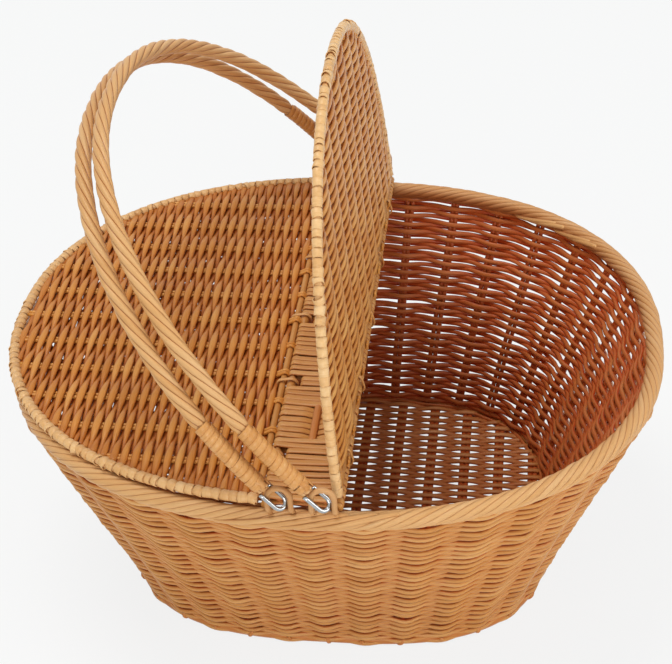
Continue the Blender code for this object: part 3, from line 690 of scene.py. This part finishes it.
def make_eyes():
    """Cane loops that rise from the rim and lean out, for the handles' staples."""
    foot_y = EYE_FOOT_Y - 0.0016
    leg = np.linspace(EYE_FOOT_Z - 0.0045, EYE_CROWN_Z, 9)[:-1]
    arc = np.linspace(0, math.pi, 17)
    x = np.concatenate([np.full(8, EYE_R), EYE_R * np.cos(arc), np.full(8, -EYE_R)])
    z = np.concatenate([leg, EYE_CROWN_Z + EYE_R * np.sin(arc), leg[::-1]])
    lean = ease(np.clip((z - EYE_FOOT_Z) / 0.0070, 0, 1))
    for side in SIDES:
        for place, end in ENDS:
            y = end * (foot_y + (PIVOT_Y - foot_y) * lean)
            cane = Cane()
            # Painted shade over the whole eye; its tone is darker too.
            cane.add(rows_of(x + DIRECTION[side] * PIVOT_X, y, z), (0, -end, 0), *HALF["eye"],
                     sides=16, tone=-0.8, deep=0.25)
            name = "%s_%s_eye" % (side, place)
            cane.piece(name + "_cane", ROPE, "basket", "rope_cane", name)


# ---------------------------------------------------------------- lids
def lid_place(side, points):
    """From the shut lid, drawn towards +X about the basket's middle, to where the lid stands."""
    points = np.asarray(points, float)
    d = DIRECTION[side]
    x = (points[..., 0] - abs(ROD_X[side])) * d
    y, z = points[..., 1], points[..., 2]
    turn = -d * OPEN[side]
    return np.stack([ROD_X[side] + x * math.cos(turn) + z * math.sin(turn), y,
                     LEVEL - x * math.sin(turn) + z * math.cos(turn)], axis=-1)


def lid_turn(side, vectors):
    hinge = np.array([abs(ROD_X[side]), 0.0, 0.0])
    return lid_place(side, np.asarray(vectors, float) + hinge) - lid_place(side, hinge)


def stick_place(side):
    return abs(ROD_X[side]) + ROD_TO_STICK


def lid_outline(start_x, count):
    """The middle line of a lid's border, from the hinge edge round and back to it."""
    x, y = oval_curve(np.linspace(-math.pi / 2, math.pi / 2, 2001), LID_X, LID_Y, LID_SQ)
    keep = x > start_x
    half = oval_half(start_x, LID_X, LID_Y, LID_SQ)
    x = np.concatenate([[start_x], x[keep], [start_x]])
    y = np.concatenate([[-half], y[keep], [half]])
    return resample(rows_of(x, y, 0.0), count)


def make_lid_weave(side):
    """Weavers from front to back over and under pairs of ribs, which hook round the stick."""
    stick_x, up = stick_place(side), lid_turn(side, UP)
    edge = stick_x + STICK_R + GAP
    edge_painted_shade, weaver_painted_light, _ = LID_PAINTED_SHADING[side]
    half_x, half_y = LID_X - LID_BORDER_R, LID_Y - LID_BORDER_R
    cane = Cane()
    for row, x in enumerate(np.arange(edge + 0.0016, half_x - 0.0012, LID_STEP)):
        reach = oval_half(x, half_x, half_y, LID_SQ)
        if reach < 0.006:
            continue
        y = np.linspace(-reach, reach, max(13, int(2 * reach / RIB_PITCH * 12)))
        wave = np.cos(math.pi * ((y - RIB_FIRST) / RIB_PITCH + row))
        fade = np.clip((reach - np.abs(y)) / 0.013, 0.35, 1.0)
        far = np.clip((half_x - x) / 0.012, 0.45, 1.0)
        z = LID_WAVE * signed_power(wave, 0.8) * fade * far
        path = rows_of(x + smooth_noise(len(y), 10, 0.0002), y, z)
        leaf = np.abs(wave) ** 0.9
        width = (0.00128 + 0.00104 * leaf) * (1 + smooth_noise(len(y), 10, 0.05))
        # Painted shade: a weaver's top darker where it dips under the ribs, its lower face
        # lighter, and the lid's painted shade along its edges.
        facing = TUBE_FACING * (z / LID_WAVE)[:, None]
        deep = np.where(TUBE_FACING > -0.1, 0.34 - 0.36 * facing, 0.10 - 0.14 * facing)
        deep = np.clip(deep + edge_painted_shade * TUBE_EDGE, 0.0, 0.95)
        # The open lid's weavers are drawn lighter: painted light.
        cane.add(lid_place(side, path), up, 0.00122 - 0.00012 * leaf, width, tone=weaver_painted_light,
                 deep=deep)
    turn = np.linspace(-0.62 * math.pi, 0.5 * math.pi, 14)
    for number in range(-6, 5):
        y = RIB_FIRST + number * RIB_PITCH
        reach = oval_half(y, half_y, half_x, LID_SQ)
        if reach < edge + 0.01:
            continue
        run = np.linspace(0.0012, reach - stick_x, 50)
        x = stick_x + np.concatenate([-HOOK_R * np.cos(turn), run])
        z = HOOK_R * np.concatenate([np.sin(turn), np.clip(1 - run / 0.006, 0, 1) ** 2])
        out = np.concatenate([rows_of(-np.cos(turn), 0.0, np.sin(turn)),
                              np.tile(UP, (len(run), 1))])
        size = np.repeat([0.0007, 0.0011], [len(turn), len(run)])
        for stick in (-1, 1):
            path = rows_of(x, y + stick * RIB_APART + smooth_noise(len(x), 6, 0.00012), z)
            # The ribs are drawn paler: painted light on the beads that show between the weavers.
            cane.add(lid_place(side, path), lid_turn(side, out), size, 0.00125, tone=0.8)
    cane.piece(side + "_lid_weave_cane", PANEL, side + "_lid", "woven_cane",
               side + "_lid_weave")


def make_lid_border(side):
    """A bent rod wound with flat cane, loop after loop, a few of them crossing the others."""
    path = lid_outline(stick_place(side), 1400)
    run = lengths(path)
    ahead = unit(np.gradient(path, axis=0))
    aside = np.cross(ahead, UP)
    core = resample(path, 260)
    out = np.cross(unit(np.gradient(core, axis=0)), UP)
    border = Cane()
    # Painted shade on the rod under the winding.
    border.add(lid_place(side, core), lid_turn(side, out), *HALF["bent_rod"], deep=0.12,
               sides=12)
    turn = TURN * np.arange(24) / 24
    inward = np.clip(-np.cos(turn), 0, 1)
    # Painted shade along the loops' edges; the shut lid's loops are also drawn darker by its tone,
    # painted shade.
    deep = np.repeat(0.08 * TUBE_EDGE, len(turn), 0)
    at = 0.0024
    while at < run[-1] - 0.002:
        spot = np.searchsorted(run, at)
        here, forward = path[spot], ahead[spot]
        crossing = RANDOM.random() < CROSSING_SHARE
        lean = RANDOM.choice((-1, 1)) * 0.0016 if crossing else RANDOM.normal(0.0005, 0.00035)
        far = LOOP_FAR + RANDOM.normal(0, 0.00004) + (0.00018 if crossing else 0.0)
        loop = (here + times(aside[spot], far * np.cos(turn) - 0.0008 * inward)
                + times(UP, far * np.sin(turn))
                + times(forward, lean * np.cos(turn - RANDOM.uniform(-0.6, 0.6))))
        wide = (0.0019 if crossing else 0.00268) * (1 - 0.32 * inward)
        border.add(lid_place(side, loop),
                   lid_turn(side, unit(loop - here) - forward * 0.05), 0.00026, wide,
                   closed=True, power=0.3, tone=LID_PAINTED_SHADING[side][2], deep=deep)
        at += np.clip(RANDOM.normal(LOOP_STEP, 0.0005), 0.0041, 0.0058)
    border.piece(side + "_lid_border_wrap", SLEEVE, side + "_lid", "binding_cane",
                 side + "_lid_border")


def make_lid_stick(side):
    x = stick_place(side)
    reach = oval_half(x, LID_X, LID_Y, LID_SQ) - LID_BORDER_R - GAP
    stick = Cane()
    stick.add(lid_place(side, rows_of(x, np.linspace(-reach, reach, 70), 0.0)),
              lid_turn(side, UP), STICK_R, STICK_R, sides=12)
    stick.piece(side + "_lid_stick_cane", WEAVE, side + "_lid", "binding_cane",
                side + "_lid_stick")


def make_lid_bindings(side):
    """Five closed loops round the rod and the lid's stick, which turn on the rod."""
    rod_r, stick_r = ROD_R + GAP + BINDING_R, STICK_R + GAP + BINDING_R
    slope = math.asin((rod_r - stick_r) / ROD_TO_STICK)
    counts = (15, 12)
    angle = np.concatenate([
        math.pi / 2 - slope + (math.pi + 2 * slope) * np.linspace(0, 1, counts[0]),
        -math.pi / 2 + slope + (math.pi - 2 * slope) * np.linspace(0, 1, counts[1])])
    centre, radius = np.repeat([0.0, ROD_TO_STICK], counts), np.repeat([rod_r, stick_r], counts)
    x, z = centre + radius * np.cos(angle), radius * np.sin(angle)
    out = unit(rows_of(x - centre, 0.0, z))
    for number in range(5):
        loop = rows_of(abs(ROD_X[side]) + x, (number - 2) * BINDING_STEP, z)
        tie = Cane()
        tie.add(lid_place(side, loop), lid_turn(side, out), *HALF["binding"], closed=True,
                tone=-0.6)
        tie.piece("%s_lid_tie_%d" % (side, number + 1), WRAP, side + "_lid", "binding_cane",
                  "%s_lid_binding_%d" % (side, number + 1))


# ---------------------------------------------------------------- handles
def handle_place(side, points):
    """From an upright handle with its pivot line along Y through the origin to its place."""
    points = np.asarray(points, float)
    a = LEAN[side]
    x, y, z = points[..., 0], points[..., 1], points[..., 2]
    return np.stack([DIRECTION[side] * PIVOT_X + x * math.cos(a) - z * math.sin(a), y,
                     PIVOT_Z + x * math.sin(a) + z * math.cos(a)], axis=-1)


def handle_turn(side, vectors):
    return handle_place(side, vectors) - handle_place(side, np.zeros(3))


def handle_arch(side, count):
    y, z = oval_curve(np.linspace(0, math.pi, 3001), -PIVOT_Y, RISE[side], HANDLE_SQ)
    keep = z > HANDLE_START
    return resample(rows_of(0.0, y[keep], z[keep]), count)


def make_handle_rope(side, path):
    """The rope, drawn in a little under the whippings."""
    run = lengths(path)
    from_end = np.minimum(run, run[-1] - run)
    whip = WHIP_TURNS * WHIP_PITCH + 0.0031
    grown = ease(np.clip((from_end - whip + 0.001) / 0.005, 0, 1))
    scale = WHIP_SQUEEZE + (1 - WHIP_SQUEEZE) * grown
    normal = handle_turn(side, np.tile(ACROSS, (len(path), 1)))
    world = handle_place(side, path)
    cane = Cane()
    rope(cane, world, normal, HANDLE_R, HANDLE_STRANDS, run[-1] / HANDLE_LAY, False, scale=scale)
    # The core inside the rope is painted fully in shade.
    cane.add(world, normal, CORE_R * scale, CORE_R * scale, deep=1.0)
    cane.piece(side + "_handle_rope_cane", ROPE, side + "_handle", "rope_cane",
               side + "_handle_rope")


def staple_axes(end):
    """The pivot at a handle's end, and the directions between and across its staple's legs."""
    reach = np.array([math.sin(STAPLE_TWIST), end * math.cos(STAPLE_TWIST), 0.0])
    return np.array([0.0, end * PIVOT_Y, 0.0]), reach, np.cross(reach, UP)


def make_whipping(side, place, end, arch):
    """Flat cane wound round a handle's end, with two flaps of it between the staple's legs."""
    steps = WHIP_TURNS * WHIP_STEPS + 1
    whip = WHIP_TURNS * WHIP_PITCH
    centre = points_along(arch, WHIP_FIRST + whip * np.arange(steps) / (steps - 1))
    along = unit(np.gradient(centre, axis=0))
    angle = TURN * np.arange(steps) / WHIP_STEPS
    around = times(ACROSS, np.cos(angle)) + times(np.cross(along, ACROSS), np.sin(angle))
    lift = WHIP_FAR + smooth_noise(steps, 30, 0.00006)
    sway = smooth_noise(steps, 40, 0.00024)
    strip = centre + times(around, lift) + times(along, sway)
    # Painted shade along the lines between the turns, its strength wandering along the winding.
    seam_shade_strength = np.clip(1 + smooth_noise(steps, 70, 0.5), 0.1, 1.4)[:, None]
    wrap = Cane()
    wrap.add(handle_place(side, strip), handle_turn(side, unit(around - along * 0.07)),
             *HALF["whipping"], power=0.3, deep=0.6 * TUBE_EDGE * seam_shade_strength)
    middle, reach, cross = staple_axes(end)
    crown = FLAP_CROWN * UP
    arc = np.radians(np.linspace(-62, 242, 26))
    for shift, tone in ((-0.0011, 0.5), (0.0014, -0.5)):
        flap = (times(cross, FLAP_WIDE * np.cos(arc)) + times(reach, shift * np.sin(arc))
                - times(UP, FLAP_TALL * np.sin(arc)))
        # A little painted shade on the flaps.
        wrap.add(handle_place(side, middle + crown + flap), handle_turn(side, flap),
                 *HALF["flap"], power=0.6, tone=tone, deep=0.1)
    name = "%s_%s" % (side, place)
    wrap.piece(name + "_wrap", WRAP, side + "_handle", "binding_cane", name + "_whipping")


def make_staple(side, place, end):
    """A bent steel wire, its legs driven into the handle's end."""
    middle, reach, cross = staple_axes(end)
    half = STAPLE_WIDE * reach
    arc = np.linspace(0, math.pi, 33)
    leg = times(UP, np.linspace(HANDLE_START - GAP, 0.0, 6)[:-1])
    bend = times(half, np.cos(arc)) - times(UP, STAPLE_DEEP * np.sin(arc))
    path = middle + np.concatenate([half + leg, bend, leg[::-1] - half])
    wire = Cane()
    wire.add(handle_place(side, path), handle_turn(side, cross), *HALF["staple"], sides=16)
    name = "%s_%s" % (side, place)
    wire.piece(name + "_link", STEEL, side + "_handle", "bright_steel", name + "_staple")


# ---------------------------------------------------------------- camera, light and floor
# Each light: name, place, width and power. All of them look at LIGHT_TARGET.
LIGHTS = (("front_low", (0.2, -2.2, 0.55), 1.4, 21.0), ("right", (2.0, -0.4, 1.0), 1.2, 13.0),
          ("top", (-0.5, 0.3, 2.2), 1.2, 24.0))
LIGHT_TARGET = Vector((0.0, 0.0, 0.12))
FLOOR_Z, FLOOR_HALF = -0.0004, 30
SOFT_LEVEL, SOFT_COLOUR = 0.42, (1.0, 0.99, 0.97, 1.0)
WORLD_WHITE, FLOOR_WHITE = (0.945, 0.955, 0.955, 1.0), (0.965, 0.972, 0.972, 1.0)
FLOOR_GLOW = 0.85             # share of its own white in the floor; the rest takes the shadow


def make_camera():
    """The photo's camera, solved from the outlines of the rim, base, lids and handles."""
    azimuth, elevation, roll = (math.radians(v) for v in (7.9, 36.187, -2.771))
    distance, target = 0.98282, np.array([-0.00136, 0.0, 0.14795])
    back = np.array([math.sin(azimuth) * math.cos(elevation),
                     -math.cos(azimuth) * math.cos(elevation), math.sin(elevation)])
    right = np.array([math.cos(azimuth), math.sin(azimuth), 0.0])
    up = np.cross(back, right)
    across = math.cos(roll) * right + math.sin(roll) * up
    rise = -math.sin(roll) * right + math.cos(roll) * up
    place = target + back * distance
    data = bpy.data.cameras.new("camera")
    data.sensor_width, data.lens = 36.0, 86.26
    camera = bpy.data.objects.new("camera", data)
    camera.matrix_world = Matrix([(*axes, spot) for *axes, spot in
                                  zip(across, rise, back, place)] + [(0.0, 0.0, 0.0, 1.0)])
    bpy.context.scene.collection.objects.link(camera)
    bpy.context.scene.camera = camera


def add_light(name, place, width, power):
    data = bpy.data.lights.new(name, "AREA")
    data.shape, data.size, data.energy = "DISK", width, power
    lamp = bpy.data.objects.new(name, data)
    lamp.location = place
    lamp.rotation_euler = (LIGHT_TARGET - Vector(place)).to_track_quat("-Z", "Y").to_euler()
    bpy.context.scene.collection.objects.link(lamp)


def seen_straight(nodes, links):
    """1 for rays that show the background: from the camera, mirrored or let through."""
    path = nodes.new("ShaderNodeLightPath")
    seen = path.outputs["Is Camera Ray"]
    for kind in ("Is Glossy Ray", "Is Transmission Ray"):
        seen = add_node(nodes, links, "ShaderNodeMath", {0: seen, 1: path.outputs[kind]},
                        operation="MAXIMUM").outputs[0]
    return seen


def make_world():
    """Soft light on the basket, and plain white where the camera sees past it."""
    world = bpy.data.worlds.new("studio")
    bpy.context.scene.world = world
    world.use_nodes = True
    nodes, links = world.node_tree.nodes, world.node_tree.links
    soft = nodes["Background"]
    soft.inputs["Color"].default_value = SOFT_COLOUR
    soft.inputs["Strength"].default_value = SOFT_LEVEL
    white = add_node(nodes, links, "ShaderNodeBackground", {"Color": WORLD_WHITE, "Strength": 1.0})
    mix = add_node(nodes, links, "ShaderNodeMixShader",
                   {0: seen_straight(nodes, links), 1: soft.outputs[0], 2: white.outputs[0]})
    links.new(mix.outputs[0], nodes["World Output"].inputs["Surface"])


def make_floor():
    """A plain pale floor that keeps the basket's shadow."""
    mesh = bpy.data.meshes.new("floor")
    corners = ((-1, -1), (1, -1), (1, 1), (-1, 1))
    mesh.from_pydata([(x * FLOOR_HALF, y * FLOOR_HALF, FLOOR_Z) for x, y in corners], [],
                     [(0, 1, 2, 3)])
    floor = bpy.data.objects.new("floor", mesh)
    bpy.context.scene.collection.objects.link(floor)
    material, nodes, links = new_material("plain_pale_floor")
    shader = nodes["Principled BSDF"]
    shader.inputs["Base Color"].default_value = (0.80, 0.80, 0.80, 1.0)
    shader.inputs["Roughness"].default_value = 0.9
    glow = add_node(nodes, links, "ShaderNodeEmission", {"Color": FLOOR_WHITE, "Strength": 1.0})
    share = add_node(nodes, links, "ShaderNodeMath",
                     {0: seen_straight(nodes, links), 1: FLOOR_GLOW}, operation="MULTIPLY")
    mix = add_node(nodes, links, "ShaderNodeMixShader",
                   {0: share.outputs[0], 1: shader.outputs[0], 2: glow.outputs[0]})
    links.new(mix.outputs[0], nodes["Material Output"].inputs["Surface"])
    mesh.materials.append(material)


make_wall()
make_rim()
make_foot()
make_base()
make_bridge()
make_rods()
make_eyes()
for lid in SIDES:
    make_lid_weave(lid)
    make_lid_border(lid)
    make_lid_stick(lid)
    make_lid_bindings(lid)
for handle in SIDES:
    line = handle_arch(handle, 620)
    make_handle_rope(handle, line)
    for at_end, toward in ENDS:
        make_whipping(handle, at_end, toward, line if at_end == "front" else line[::-1])
        make_staple(handle, at_end, toward)
make_camera()
make_world()
make_floor()
for light in LIGHTS:
    add_light(*light)
bpy.context.scene.view_settings.view_transform = "Standard"
